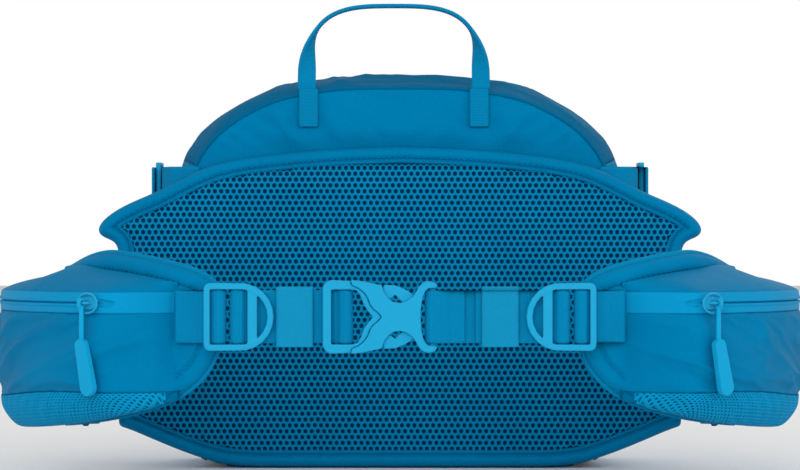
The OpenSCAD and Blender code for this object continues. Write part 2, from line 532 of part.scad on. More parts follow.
panel_foam();
panel_mesh();
panel_border();
frame_sheet();
bag_back();
bag_top();
bag_side(-1);  // bag_side_left
bag_side(1);  // bag_side_right
bag_bottom();
bag_front();
main_zip_tape();
main_flap();
flap_zip_tape();
front_pocket();
front_pocket_face();
front_zip_tape();
main_slider_left();
main_slider_right();
main_pull_left();
main_pull_right();
front_slider();
front_pull();
haul_handle();
handle_tab(handle_xl);  // handle_tab_left
handle_tab(handle_xr);  // handle_tab_right
side_anchor(-1);  // side_anchor_left
side_anchor(1);  // side_anchor_right
side_strap(-1);  // side_strap_left
side_strap(1);  // side_strap_right
side_lock(-1);  // side_lock_left
side_lock(1);  // side_lock_right
wing(-1);  // wing_left
wing(1);  // wing_right
wing_binding(-1);  // wing_binding_left
wing_binding(1);  // wing_binding_right
pocket_top(-1);  // pocket_top_left
pocket_top(1);  // pocket_top_right
pocket_zip(-1);  // pocket_zip_left
pocket_zip(1);  // pocket_zip_right
pocket_face(-1);  // pocket_face_left
pocket_face(1);  // pocket_face_right
pocket_mesh(-1);  // pocket_mesh_left
pocket_mesh(1);  // pocket_mesh_right
wing_anchor(-1);  // wing_anchor_left
wing_anchor(1);  // wing_anchor_right
wing_slider(-1);  // wing_slider_left
wing_slider(1);  // wing_slider_right
wing_pull(-1, -12);  // wing_pull_left
wing_pull(1, 12);  // wing_pull_right
ladder_lock(-1);  // ladder_lock_left
ladder_lock(1);  // ladder_lock_right
belt_webbing_left();
belt_webbing_right();
keeper(-1);  // keeper_left
keeper(1);  // keeper_right
buckle_male();
prong_upper();
prong_lower();
buckle_female();
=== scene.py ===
"""Looks of the waist pack: sewn cloth, spacer mesh, webbing, zips and moulded fittings."""
import json
import math

import bmesh
import bpy
import numpy as np
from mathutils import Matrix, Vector
from mathutils.geometry import delaunay_2d_cdt


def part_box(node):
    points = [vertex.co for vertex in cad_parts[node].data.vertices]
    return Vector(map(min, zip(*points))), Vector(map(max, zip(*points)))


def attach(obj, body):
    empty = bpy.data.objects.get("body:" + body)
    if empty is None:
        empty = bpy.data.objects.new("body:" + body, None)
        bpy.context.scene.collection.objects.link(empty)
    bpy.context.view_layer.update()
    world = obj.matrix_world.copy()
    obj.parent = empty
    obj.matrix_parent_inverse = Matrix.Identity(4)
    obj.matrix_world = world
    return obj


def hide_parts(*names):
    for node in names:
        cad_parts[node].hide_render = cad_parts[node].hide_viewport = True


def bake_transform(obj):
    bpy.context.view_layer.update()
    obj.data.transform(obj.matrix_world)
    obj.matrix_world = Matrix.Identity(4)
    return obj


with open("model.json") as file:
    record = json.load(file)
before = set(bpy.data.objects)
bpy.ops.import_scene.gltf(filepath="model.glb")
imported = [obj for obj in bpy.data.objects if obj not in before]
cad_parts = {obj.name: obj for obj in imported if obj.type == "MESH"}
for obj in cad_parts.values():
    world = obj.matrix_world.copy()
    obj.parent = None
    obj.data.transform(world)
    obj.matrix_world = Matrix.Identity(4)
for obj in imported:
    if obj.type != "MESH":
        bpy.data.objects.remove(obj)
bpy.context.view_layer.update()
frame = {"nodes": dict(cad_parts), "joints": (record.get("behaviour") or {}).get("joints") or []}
MM = 0.001
SIDES = {"left": -1, "right": 1}


# ---------- the frame, in millimetres ----------

def joint(name):
    return next(j for j in frame["joints"] if j["name"] == name)


def box_mm(node):
    low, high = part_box(node)
    return np.array(low) / MM, np.array(high) / MM


def place_of(name):
    return np.array(joint(name)["pos_m"]) / MM


# ---------- small maths ----------

def ease(x):
    """0 below 0, 1 above 1, and a smooth step between."""
    c = np.clip(x, 0, 1)
    return c * c * (3 - 2 * c)


def cell_noise(p, seed):
    """Smooth noise from 0 to 1 at the points p, one cell to the unit."""
    low = np.floor(p).astype(np.int64)
    f = ease(p - low)
    total = 0
    for corner in np.ndindex(2, 2, 2):
        c = low + corner
        n = (c[:, 0] * 73856093) ^ (c[:, 1] * 19349663) ^ (c[:, 2] * 83492791) ^ (seed * 26544357)
        n = ((n ^ (n >> 13)) * 1274126177) & 0xFFFFFFFF
        share = np.prod(np.where(corner, f, 1 - f), axis=1)
        total = total + share * ((n ^ (n >> 16)) & 0xFFFF) / 65535
    return total


def folds(p, size, seed):
    """Soft ridges, from 0 to 1, that wander through the points p. size is their length along each axis."""
    q = np.asarray(p) / np.asarray(size, float)
    bend = np.stack([cell_noise(q * 0.7, seed + k) for k in (11, 12, 13)], 1)
    q = q + 0.8 * (bend - 0.5)
    sharp = 1 - np.abs(2 * cell_noise(q, seed) - 1)
    return 0.7 * sharp ** 2 + 0.3 * (1 - np.abs(2 * cell_noise(2.1 * q, seed + 5) - 1)) ** 2


# ---------- outlines ----------

def outlines(node, axis, side):
    """The closed outlines of a CAD node's flat face furthest to that side, longest first. Their points are in
    the other two axes."""
    bm = bmesh.new()
    bm.from_mesh(frame["nodes"][node].data)
    bmesh.ops.remove_doubles(bm, verts=bm.verts, dist=1e-6)
    level = side * max(side * v.co[axis] for v in bm.verts)
    flat = {f for f in bm.faces if all(abs(v.co[axis] - level) < 5e-6 for v in f.verts)}
    near = {}
    for e in bm.edges:
        if sum(f in flat for f in e.link_faces) == 1:
            for a, b in (e.verts, reversed(e.verts)):
                near.setdefault(a, []).append(b)
    keep = [k for k in range(3) if k != axis]
    loops = []
    while near:
        start = next(iter(near))
        loop, here, last = [], start, None
        while here in near:
            loop.append([here.co[k] / MM for k in keep])
            last, here = here, next((v for v in near.pop(here) if v in near and v is not last), start)
        loops.append(anticlockwise(np.array(loop)))
    bm.free()
    return sorted(loops, key=lambda p: -np.abs(np.diff(p, axis=0)).sum())


def anticlockwise(p):
    q = np.roll(p, -1, 0)
    return p if (p[:, 0] * q[:, 1] - q[:, 0] * p[:, 1]).sum() > 0 else p[::-1]


def spaced(p, step, closed=True):
    """The line through the points p, as points step apart."""
    q = np.vstack([p, p[:1]]) if closed else np.asarray(p, float)
    along = np.concatenate([[0], np.cumsum(np.linalg.norm(np.diff(q, axis=0), axis=1))])
    n = max(8, int(round(along[-1] / step)))
    at = np.linspace(0, along[-1], n, endpoint=not closed)
    return np.stack([np.interp(at, along, q[:, k]) for k in range(q.shape[1])], 1)


def rounded(p, step, times=3):
    """A closed outline with its corners eased, as points step apart."""
    q = spaced(p, step)
    for _ in range(times):
        q = 0.25 * np.roll(q, 1, 0) + 0.5 * q + 0.25 * np.roll(q, -1, 0)
    return q


def sideways(p, closed=True):
    """Unit normals to the left of a line of points in a plane."""
    if closed:
        d = np.roll(p, -1, 0) - np.roll(p, 1, 0)
    else:
        d = np.gradient(p, axis=0)
    d = d / np.maximum(np.linalg.norm(d, axis=1, keepdims=True), 1e-9)
    return np.stack([-d[:, 1], d[:, 0]], 1)


def distance(p, loops):
    """How far each point is from the nearest of these outlines."""
    best = np.full(len(p), 1e9)
    for loop in loops:
        for a, b in zip(loop, np.roll(loop, -1, 0)):
            d = b - a
            t = np.clip(((p - a) @ d) / max(d @ d, 1e-12), 0, 1)
            best = np.minimum(best, ((p - a - t[:, None] * d) ** 2).sum(1))
    return np.sqrt(best)


def inside(p, loop):
    hit = np.zeros(len(p), bool)
    for a, b in zip(loop, np.roll(loop, -1, 0)):
        cross = (a[1] > p[:, 1]) != (b[1] > p[:, 1])
        if cross.any():
            hit ^= cross & (p[:, 0] < (b[0] - a[0]) * (p[:, 1] - a[1]) / (b[1] - a[1] + 1e-12) + a[0])
    return hit


def from_gap(p):
    """The points left of a ring with a stretch cut out, started after the gap."""
    start = int(np.argmax(np.linalg.norm(np.diff(p, axis=0, append=p[:1]), axis=1))) + 1
    return np.roll(p, -start, 0)


def upright(flat, y):
    """Flat places (x, z) stood up at the depth y."""
    return np.stack([flat[:, 0], y + 0 * flat[:, 0], flat[:, 1]], 1)


def filled(loops, rings, pitch):
    """A flat mesh inside an outline and outside its holes: its points, faces and distances from the edge."""
    points = list(loops)
    edges = []
    count = 0
    for loop in loops:
        n = len(loop)
        edges += [(count + i, count + (i + 1) % n) for i in range(n)]
        count += n
    for k, loop in enumerate(loops):
        for r in rings:
            q = loop + sideways(loop) * (r if k == 0 else -r)
            keep = distance(q, loops) > 0.93 * r
            keep &= inside(q, loops[0])
            ids = np.where(keep, count + np.cumsum(keep) - 1, -1)
            edges += [(int(a), int(b)) for a, b in zip(ids, np.roll(ids, -1)) if a >= 0 and b >= 0]
            points.append(q[keep])
            count += int(keep.sum())
    low, high = loops[0].min(0), loops[0].max(0)
    rows = np.arange(low[1], high[1], pitch * 0.866)
    grid = np.array([[x + (i % 2) * pitch / 2, y] for i, y in enumerate(rows)
                     for x in np.arange(low[0], high[0], pitch)])
    grid = grid[inside(grid, loops[0])]
    grid = grid[distance(grid, loops) > (rings[-1] if rings else 0) + 0.6 * pitch]
    points.append(grid)
    flat = np.vstack(points)
    made = delaunay_2d_cdt([Vector(p) for p in flat], edges, [], 1, 1e-5, False)
    verts = np.array([tuple(v) for v in made[0]])
    faces = [tuple(f) for f in made[2]]
    middle = np.array([verts[list(f)].mean(0) for f in faces])
    good = inside(middle, loops[0])
    for hole in loops[1:]:
        good &= ~inside(middle, hole)
    return verts, [f for f, g in zip(faces, good) if g], distance(verts, loops)


# ---------- pieces ----------

def finish_piece(obj, body, slot, replaces=()):
    obj.data.materials.clear()
    obj.data.materials.append(MATERIALS[slot])
    if body:
        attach(obj, body)
    if replaces:
        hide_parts(*replaces)
    return obj


def flipped(faces):
    return [tuple(reversed(f)) for f in faces]


def piece(name, points, faces, body, slot, replaces=(), thick=0, offset=-1, side=0):
    """A mesh piece from points in mm, mirrored where side is 1. A sheet that is thick lies behind the points
    where offset is -1, about them where it is 0, and in front of them where it is 1."""
    points = np.asarray(points, float).reshape(-1, 3) * MM
    if side > 0:
        points = points * [-1, 1, 1]
        faces = flipped(faces)
    mesh = bpy.data.meshes.new(name)
    mesh.from_pydata(points.tolist(), [], faces)
    mesh.update()
    mesh.shade_smooth()
    obj = bpy.data.objects.new(name, mesh)
    bpy.context.scene.collection.objects.link(obj)
    if thick:
        solid = obj.modifiers.new("thickness", "SOLIDIFY")
        solid.thickness = thick * MM
        solid.offset = offset
    return finish_piece(obj, body, slot, replaces)


def grid_faces(rows, cols, wrap_rows=False, wrap_cols=False, first=0):
    faces = []
    for i in range(rows if wrap_rows else rows - 1):
        for j in range(cols if wrap_cols else cols - 1):
            a, b = i * cols, (i + 1) % rows * cols
            k = (j + 1) % cols
            faces.append((first + a + j, first + a + k, first + b + k, first + b + j))
    return faces


def tube_faces(rows, cols, first=0):
    """The faces of rows of points round a tube, with its two ends closed."""
    last = first + (rows - 1) * cols
    ends = [tuple(range(first, first + cols))[::-1], tuple(range(last, last + cols))]
    return grid_faces(rows, cols, wrap_cols=True, first=first) + ends


def tube(name, path, radius, body, slot, closed=False, sides=8, flat=1.0, up=(0, 1, 0), replaces=(), side=0):
    """A round or flattened tube along a path. flat is its height over its width, across up."""
    p = np.asarray(path, float)
    d = np.roll(p, -1, 0) - np.roll(p, 1, 0) if closed else np.gradient(p, axis=0)
    d = d / np.linalg.norm(d, axis=1, keepdims=True)
    u = np.broadcast_to(np.asarray(up, float), p.shape)
    u = u - (u * d).sum(1, keepdims=True) * d
    u = u / np.maximum(np.linalg.norm(u, axis=1, keepdims=True), 1e-9)
    v = np.cross(d, u)
    a = np.arange(sides) * 2 * math.pi / sides
    r = np.broadcast_to(np.asarray(radius, float), len(p))[:, None, None]
    high = u[:, None] * np.cos(a)[None, :, None] * flat
    wide = v[:, None] * np.sin(a)[None, :, None]
    ring = p[:, None] + r * (high + wide)
    if closed:
        faces = grid_faces(len(p), sides, wrap_rows=True, wrap_cols=True)
    else:
        faces = tube_faces(len(p), sides)
    return piece(name, ring, faces, body, slot, replaces, side=side)


THREAD, THREAD_GAP, THREAD_R = 1.9, 1.1, 0.26  # a stitch's length, the gap to the next, and its radius
FINE = 0.25  # between points along a seam


def stitches(name, path, outward, body, side=0):
    """A row of threads lying along a closed seam, each a small rounded bar."""
    dense = spaced(path, FINE)
    step = int(round((THREAD + THREAD_GAP) / FINE))
    span = int(round(THREAD / FINE))
    out = spaced(outward, FINE) if np.ndim(outward) > 1 else np.broadcast_to(outward, dense.shape)
    verts, faces = [], []
    around = [(math.cos(a), math.sin(a)) for a in np.arange(6) * math.pi / 3]
    for s in range(0, len(dense) - span, step):
        rows = dense[s:s + span + 1:2]
        n = out[min(s, len(out) - 1)]
        n = n / np.linalg.norm(n)
        d = rows[-1] - rows[0]
        d = d / max(np.linalg.norm(d), 1e-9)
        v = np.cross(d, n)
        m = len(rows)
        first = len(verts)
        for i, q in enumerate(rows):
            t = i / (m - 1)
            swell = math.sin(math.pi * (0.12 + 0.76 * t))
            for c, e in around:
                verts.append(q + n * (THREAD_R * swell * (c + 0.35)) + v * THREAD_R * swell * e * 1.25)
        faces += tube_faces(m, 6, first)
    return piece(name, verts, faces, body, "binding", side=side)


def moulded(name, node, body, voxel, rounding, slot="moulded_plastic"):
    """A CAD fitting with its edges rounded as moulded plastic has them."""
    mesh = frame["nodes"][node].data.copy()
    mesh.name = name
    obj = bpy.data.objects.new(name, mesh)
    bpy.context.scene.collection.objects.link(obj)
    remesh = obj.modifiers.new("remesh", "REMESH")
    remesh.mode = "VOXEL"
    remesh.voxel_size = voxel * MM
    remesh.use_smooth_shade = True
    smooth = obj.modifiers.new("rounding", "SMOOTH")
    smooth.factor = 0.5
    smooth.iterations = rounding
    return finish_piece(obj, body, slot, [node])


RIB = 1.4  # from one weft rib of the webbing to the next
WARP = 1.3  # from one warp thread of the webbing to the next
STEP = 0.35  # between points along webbing and zips
ROW = 0.6  # between points across webbing


def webbing(name, node, body, axis=2, slot="webbing", rib=RIB, depth=0.3):
    """Webbing swept from the CAD strap's own outline, with woven ribs across its length."""
    loop = spaced(outlines(node, axis, 1)[0], STEP)
    low, high = box_mm(node)
    rows = np.arange(0, high[axis] - low[axis] + 1e-6, ROW)
    rows = low[axis] + rows * (high[axis] - low[axis]) / rows[-1]
    out = -sideways(loop)
    along = np.arange(len(loop)) * STEP
    ribs = depth * np.abs(np.sin(math.pi * along / rib)) ** 0.7
    keep = [k for k in range(3) if k != axis]
    verts = np.zeros((len(rows), len(loop), 3))
    for i, z in enumerate(rows):
        edge = min(z - rows[0], rows[-1] - z)
        selvage = -0.42 * (1 - ease(edge / 0.9)) + 0.07 * math.exp(-((edge - 1.5) / 0.5) ** 2)
        weave = ribs * (0.78 + 0.22 * np.cos(2 * math.pi * z / WARP + math.pi * np.floor(along / rib)))
        verts[i][:, keep] = loop + out * (weave + selvage - depth * 0.6)[:, None]
        verts[i][:, axis] = z
    made = piece(name, verts, tube_faces(len(rows), len(loop)), body, slot, [node])
    bm = bmesh.new()
    bm.from_mesh(made.data)
    bmesh.ops.recalc_face_normals(bm, faces=bm.faces)
    for f in bm.faces:  # the cut edges are flat
        f.smooth = len(f.verts) == 4
    bm.to_mesh(made.data)
    bm.free()
    return made


CELL_X, CELL_Z = 3.25, 3.05  # spacing of the holes in the spacer mesh
CORNER_GRAIN = 20  # corners of cells are one where they agree to a 20th of a millimetre


def cell_corner(q):
    return round(q[0] * CORNER_GRAIN), round(q[1] * CORNER_GRAIN)


def honeycomb(name, region, height, put, body, slot="spacer_mesh", cell=(CELL_X, CELL_Z), depth=1.5,
              hole=0.66, side=0):
    """A lattice of rounded holes over a flat region. region has two corners and tells which centres to keep,
    height gives the surface, and put places a flat point and its height in space."""
    (x0, z0), (x1, z1), keep = region
    rows = int((z1 - z0) / cell[1]) + 1
    cols = int((x1 - x0) / cell[0]) + 1
    centres = np.array([[x0 + (j + 0.5 * (i % 2)) * cell[0], z0 + i * cell[1]]
                        for i in range(rows) for j in range(cols)])
    centres = centres[keep(centres)]
    w, h = cell[0] / 2, cell[1] / 3
    corners = np.array([[0, 2 * h], [-w, h], [-w, -h], [0, -2 * h], [w, -h], [w, h]])
    outer = centres[:, None] + corners
    rim = centres[:, None] + corners * hole
    foot = centres[:, None] + corners * hole * 0.93
    ids = {}
    for q in outer.reshape(-1, 2):
        ids.setdefault(cell_corner(q), len(ids))
    shared = np.array(list(ids)) / CORNER_GRAIN
    first = len(shared)
    n = len(centres)
    flat = np.vstack([shared, rim.reshape(-1, 2), foot.reshape(-1, 2)])
    level = height(flat)
    level[first:first + 6 * n] -= 0.12
    level[first + 6 * n:] -= depth
    faces = []
    for c in range(n):
        o = [ids[cell_corner(q)] for q in outer[c]]
        for k in range(6):
            m = (k + 1) % 6
            a, b = first + 6 * c + k, first + 6 * c + m
            faces.append((o[k], o[m], b, a))
            faces.append((a, b, b + 6 * n, a + 6 * n))
    return piece(name, put(flat, level), faces, body, slot, side=side)


# ---------- materials ----------

def linear(rgb):
    c = np.array(rgb) / 255
    return tuple(np.where(c <= 0.04045, c / 12.92, ((c + 0.055) / 1.055) ** 2.4))


def material(name, rgb, rough, scale, bump, mottle=0.06, patches=0.10, shine=0.25, kind="noise"):
    """A procedural material: broad patches and fine mottling in its colour, a weave or grain in its bump."""
    mat = bpy.data.materials.new(name)
    mat.use_nodes = True
    nodes, links = mat.node_tree.nodes, mat.node_tree.links
    shader = nodes["Principled BSDF"]
    base = linear(rgb)
    hue = [0.04 + 0.96 * c / max(base) for c in base]
    shader.inputs["Specular Tint"].default_value = (*hue, 1)
    shader.inputs["Specular IOR Level"].default_value = shine
    place = nodes.new("ShaderNodeTexCoord")
    broad = nodes.new("ShaderNodeTexNoise")
    broad.inputs["Scale"].default_value = 28
    broad.inputs["Detail"].default_value = 3
    fine = nodes.new("ShaderNodeTexVoronoi" if kind == "weave" else "ShaderNodeTexNoise")
    fine.inputs["Scale"].default_value = scale
    if kind != "weave":
        fine.inputs["Detail"].default_value = 4
    for n in (broad, fine):
        links.new(place.outputs["Object"], n.inputs["Vector"])
    tone = nodes.new("ShaderNodeMix")
    tone.data_type = "RGBA"
    tone.inputs["A"].default_value = (*[c * (1 - patches) for c in base], 1)
    tone.inputs["B"].default_value = (*[min(1, c * (1 + patches)) for c in base], 1)
    links.new(broad.outputs["Fac"], tone.inputs["Factor"])
    grain = nodes.new("ShaderNodeMix")
    grain.data_type = "RGBA"
    grain.blend_type = "MULTIPLY"
    grain.inputs["Factor"].default_value = 1
    ramp = nodes.new("ShaderNodeValToRGB")
    ramp.color_ramp.elements[0].color = (*[1 - 2 * mottle] * 3, 1)
    ramp.color_ramp.elements[1].color = (1, 1, 1, 1)
    source = fine.outputs["Distance"] if kind == "weave" else fine.outputs["Fac"]
    links.new(source, ramp.inputs["Fac"])
    links.new(tone.outputs["Result"], grain.inputs["A"])
    links.new(ramp.outputs["Color"], grain.inputs["B"])
    links.new(grain.outputs["Result"], shader.inputs["Base Color"])
    rise = nodes.new("ShaderNodeBump")
    rise.inputs["Strength"].default_value = bump
    rise.inputs["Distance"].default_value = 0.0003
    links.new(source, rise.inputs["Height"])
    links.new(rise.outputs["Normal"], shader.inputs["Normal"])
    spread = nodes.new("ShaderNodeMapRange")
    spread.inputs["To Min"].default_value = rough - 0.06
    spread.inputs["To Max"].default_value = rough + 0.06
    links.new(broad.outputs["Fac"], spread.inputs["Value"])
    links.new(spread.outputs["Result"], shader.inputs["Roughness"])
    return mat


MATERIALS = {
    "pack_cloth": material("pack_cloth", (0, 120, 168), 0.66, 1500, 0.35, shine=0.08, kind="weave"),
    # the pack cloth painted darker: painted shade for the pieces that turn away from the light
    "dark_cloth": material("dark_cloth", (0, 100, 142), 0.7, 1500, 0.35, shine=0.05, kind="weave"),
    "spacer_mesh": material("spacer_mesh", (8, 128, 176), 0.75, 2600, 0.5, shine=0.08),
    "stretch_mesh": material("stretch_mesh", (6, 144, 194), 0.7, 2600, 0.5, shine=0.08),
    "binding": material("binding", (2, 126, 173), 0.7, 1800, 0.5, shine=0.08, kind="weave"),
    "webbing": material("webbing", (6, 128, 175), 0.68, 2200, 0.5, shine=0.08, kind="weave"),
    "elastic": material("elastic", (20, 140, 184), 0.7, 2400, 0.5, shine=0.08, kind="weave"),
    "zip_tape": material("zip_tape", (8, 144, 195), 0.6, 2200, 0.35, shine=0.1, kind="weave"),
    "pull_cord": material("pull_cord", (16, 156, 205), 0.5, 900, 0.25),
    "moulded_plastic": material("moulded_plastic", (30, 152, 196), 0.42, 700, 0.06, mottle=0.02, patches=0.03,
                                shine=0.4),
    "foam": material("foam", (0, 60, 96), 0.9, 1800, 0.6, mottle=0.12, shine=0.05),
    "frame_sheet": material("frame_sheet", (206, 212, 212), 0.45, 500, 0.1, mottle=0.02, shine=0.5),
}


# ---------- camera, light and floor ----------

EYE_HEIGHT, EYE_DISTANCE, LENS = 0.1216, 1.5, 143.1
belt_plane = joint("left_strap_turn")["pos_m"][1]
scene = bpy.context.scene
scene.view_settings.view_transform = "Standard"
camera = bpy.data.objects.new("camera", bpy.data.cameras.new("camera"))
camera.data.lens = LENS
camera.location = (0, belt_plane - EYE_DISTANCE, EYE_HEIGHT)
camera.rotation_euler = (math.pi / 2, 0, 0)
scene.collection.objects.link(camera)
scene.camera = camera


AIM = Vector((0, 0, 0.1))  # what the lights point at


def softbox(name, place, size, power):
    lamp = bpy.data.lights.new(name, "AREA")
    lamp.shape = "RECTANGLE"
    lamp.size, lamp.size_y = size
    lamp.energy = power
    obj = bpy.data.objects.new(name, lamp)
    obj.location = place
    obj.rotation_euler = (AIM - Vector(place)).to_track_quat("-Z", "Y").to_euler()
    scene.collection.objects.link(obj)


softbox("front_light", (-0.35, -1.9, 0.75), (1.6, 1.2), 17)
softbox("side_light", (1.4, -1.1, 0.9), (1.0, 1.0), 6)
softbox("back_light", (0.5, 1.8, 1.2), (1.4, 1.0), 7)
softbox("top_light", (-0.2, 0.1, 1.9), (1.6, 1.6), 2)
world = bpy.data.worlds.new("world")
world.use_nodes = True
world.node_tree.nodes["Background"].inputs["Color"].default_value = (1, 1, 1, 1)
sky, wires = world.node_tree.nodes, world.node_tree.links
way = sky.new("ShaderNodeTexCoord")
part = sky.new("ShaderNodeSeparateXYZ")
dim = sky.new("ShaderNodeMapRange")
dim.inputs["From Min"].default_value = 0.12  # white at the horizon, dimmer with height
dim.inputs["From Max"].default_value = 0.7
dim.inputs["To Min"].default_value = 1.0
dim.inputs["To Max"].default_value = 0.5
wires.new(way.outputs["Generated"], part.inputs["Vector"])
wires.new(part.outputs["Z"], dim.inputs["Value"])
wires.new(dim.outputs["Result"], sky["Background"].inputs["Strength"])
scene.world = world
FLOOR = 6.0  # half the floor's width
floor_mesh = bpy.data.meshes.new("floor")
floor_corners = [(-FLOOR, -FLOOR, 0), (FLOOR, -FLOOR, 0), (FLOOR, FLOOR, 0), (-FLOOR, FLOOR, 0)]
floor_mesh.from_pydata(floor_corners, [], [(0, 1, 2, 3)])
floor = bpy.data.objects.new("floor", floor_mesh)
floor_mesh.materials.append(material("floor", (244, 244, 244), 0.9, 60, 0.02, mottle=0.005, patches=0.005))
scene.collection.objects.link(floor)


# ---------- padding ----------

def pad(name, loop, rings, pitch, front, back, put, body, slot, replaces=(), side=0):
    """A padded form over a flat outline. front and back give the heights of its two faces."""
    flat, faces, d = filled([loop], rings, pitch)
    d = np.where(d < 0.02, 0, d)
    n = len(flat)
    points = np.vstack([put(flat, front(flat, d)), put(flat, back(flat, d))])
    faces = faces + [tuple(n + v for v in reversed(f)) for f in faces]
    made = piece(name, points, faces, body, slot, replaces, side=side)
    weld(made)
    return made


WELD = 0.02  # points this near each other become one


def weld(obj):
    bm = bmesh.new()
    bm.from_mesh(obj.data)
    bmesh.ops.remove_doubles(bm, verts=bm.verts, dist=WELD * MM)
    bmesh.ops.recalc_face_normals(bm, faces=bm.faces)
    bm.to_mesh(obj.data)
    bm.free()


def round_edge(d, reach):
    """0 at the edge, rising in a quarter circle to 1 at the distance reach."""
    x = np.clip(1 - d / reach, 0, 1)
    return np.sqrt(1 - x * x)


def groove(d, at, wide, deep):
    return -deep * np.exp(-((d - at) / wide) ** 2)


def loop_in_space(loop, put, inward, height):
    """A seam line at a distance inside an outline."""
    q = loop + sideways(loop) * inward
    return put(q, height * np.ones(len(q)))


# ---------- back panel ----------

BAND = 6.6  # width of the padded band round the spacer mesh
EDGE = 5.2  # how far the panel's face curves back at its edge
CORNER_X, CORNER_Z = 134, 108  # past here the soft upper corners are blunter than the foam inside them
panel_low, panel_high = box_mm("panel_foam")
panel_face = box_mm("panel_mesh")[0][1]
panel_back = box_mm("frame_sheet")[1][1] + 0.1
panel_loop = rounded(outlines("panel_foam", 1, -1)[0], 1.4, 2)
for _ in range(26):
    blunt = 0.5 * (ease((np.abs(panel_loop[:, 0]) - CORNER_X) / 8) * (panel_loop[:, 1] > CORNER_Z))[:, None]
    between = 0.5 * (np.roll(panel_loop, 1, 0) + np.roll(panel_loop, -1, 0))
    panel_loop = panel_loop + blunt * (between - panel_loop)
CREASES = ((-42, 1.3), (60, 1.5))  # where the panel's foam is creased from top to bottom, and how deep


def on_panel(flat, height):
    return upright(flat, panel_face - height)


def panel_crown(flat, d):
    rise = 1.6 * (1 - np.exp(-(d - BAND) / 14))
    for x, deep in CREASES:
        lean = x * (1 + 0.05 * np.sin(flat[:, 1] / 25))
        rise = rise - deep * np.exp(-((flat[:, 0] - lean) / 4.5) ** 2) * ease((130 - flat[:, 1]) / 60)
    return rise + 0.9 * (folds(upright(flat, 0), (60, 1, 90), 3) - 0.5) * ease((d - BAND) / 12)


def panel_front(flat, d):
    band = -EDGE + (EDGE + 1) * round_edge(d, 4.2) + groove(d, BAND, 0.8, 1.5)
    band = band + 0.5 * np.exp(-((d - BAND - 1.2) / 0.5) ** 2)
    band = band + 0.35 * (folds(upright(flat, 0), (9, 1, 9), 5) - 0.5) * ease(d / 3)
    band = band - 0.5 * ease((d - 4.2) / 2)
    inner = panel_crown(flat, d) - 1.9
    mix = ease((d - BAND - 1.6) / 0.8)
    return band * (1 - mix) + inner * mix


def panel_rear(flat, d):
    return -EDGE - (panel_back - panel_face - EDGE) * round_edge(d, 4.5)


PANEL_RINGS = (0.4, 1.0, 2.0, 3.2, 4.6, 5.6, 6.1, 6.6, 7.1, 7.6, 8.1, 8.7, 9.4)
pad("back_panel_cover", panel_loop, PANEL_RINGS, 6, panel_front, panel_rear, on_panel, "pack", "pack_cloth",
    ["panel_foam", "panel_border"])


def panel_mesh_height(flat):
    return panel_crown(flat, np.maximum(distance(flat, [panel_loop[::3]]), BAND)) - 0.1


def off_edge(loop, reach):
    return lambda q: inside(q, loop) & (distance(q, [loop[::2]]) > reach)


mesh_region = ((panel_low[0] + BAND, panel_low[2] + BAND), (panel_high[0] - BAND, panel_high[2] - BAND),
               off_edge(panel_loop, BAND + 1.9))
panel_mesh = honeycomb("back_panel_mesh", mesh_region, panel_mesh_height, on_panel, "pack")
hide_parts("panel_mesh")
backing_loop = panel_loop + sideways(panel_loop) * (BAND + 1.6)
backing_loop = backing_loop[distance(backing_loop, [panel_loop]) > 0.95 * (BAND + 1.6)]
flat, faces, _ = filled([spaced(backing_loop, 2)], (), 4)
piece("back_panel_foam", on_panel(flat, panel_mesh_height(flat) - 1.3), faces, "pack", "foam")
panel_stitch = spaced(loop_in_space(panel_loop, on_panel, BAND - 0.9, 0.25), 1)
stitches("back_panel_stitches", panel_stitch, (0, -1, 0), "pack")

# ---------- hip wings ----------

AXIS = place_of("left_pocket_zip")
ROOT = place_of("left_wing_open")
WING_R = float(np.linalg.norm(ROOT[:2] - AXIS[:2]))
ROOT_A = math.atan2(ROOT[1] - AXIS[1], ROOT[0] - AXIS[0])
SWEEP = math.radians(111.7)  # angle from the wing's root to its tip
WING_L = SWEEP * WING_R
HALF_T = 5.5  # half the wing's thickness
WING_LOW, WING_H = 25, 89.5
WING_BAND = 8.0  # width of the padded band round the wing's lining


def wing_half(t):
    return WING_H / 2 * np.maximum(1 - t ** 3.5, 0.002) ** 0.3


def wing_mid(t):
    return WING_LOW + WING_H / 2 + 7 * t + 7 * t ** 16


def on_wing(flat, height):
    """Places u mm along the wing from its root and z, and the height outside its middle surface."""
    a = ROOT_A + flat[:, 0] / WING_R
    r = WING_R + height
    return np.stack([AXIS[0] + r * np.cos(a), AXIS[1] + r * np.sin(a), flat[:, 1]], 1)


def wing_top(t):
    """The wing's top edge, low behind the pocket and higher towards the tip."""
    return wing_mid(t) + wing_half(t) - 2.5 - 9.5 * (1 - ease((t - 0.4) / 0.3))


ROOT_DROP = 12.0  # how far the top edge falls from the panel to the wing's root
t = 1 - (1 - np.linspace(0, 1, 120)) ** 2.2  # shares of the way along the wing, closer together at its tip
upper = np.stack([t * WING_L, wing_top(t)], 1)
lower = np.stack([t * WING_L, wing_mid(t) - wing_half(t)], 1)
wing_loop = rounded(anticlockwise(np.vstack([lower, upper[::-1]])), 1.4, 3)


def wing_face(d):
    return HALF_T * round_edge(d, 4.5) + groove(d, WING_BAND, 0.9, 1.1)


def wing_out(flat, d):
    q = np.stack([flat[:, 0], flat[:, 1], 0 * d], 1)
    return wing_face(d) + 0.5 * (folds(q, (12, 12, 1), 21) - 0.5) * ease(d / 4)


def wing_in(flat, d):
    return -(wing_face(d) - 1.7 * ease(d - WING_BAND - 1))


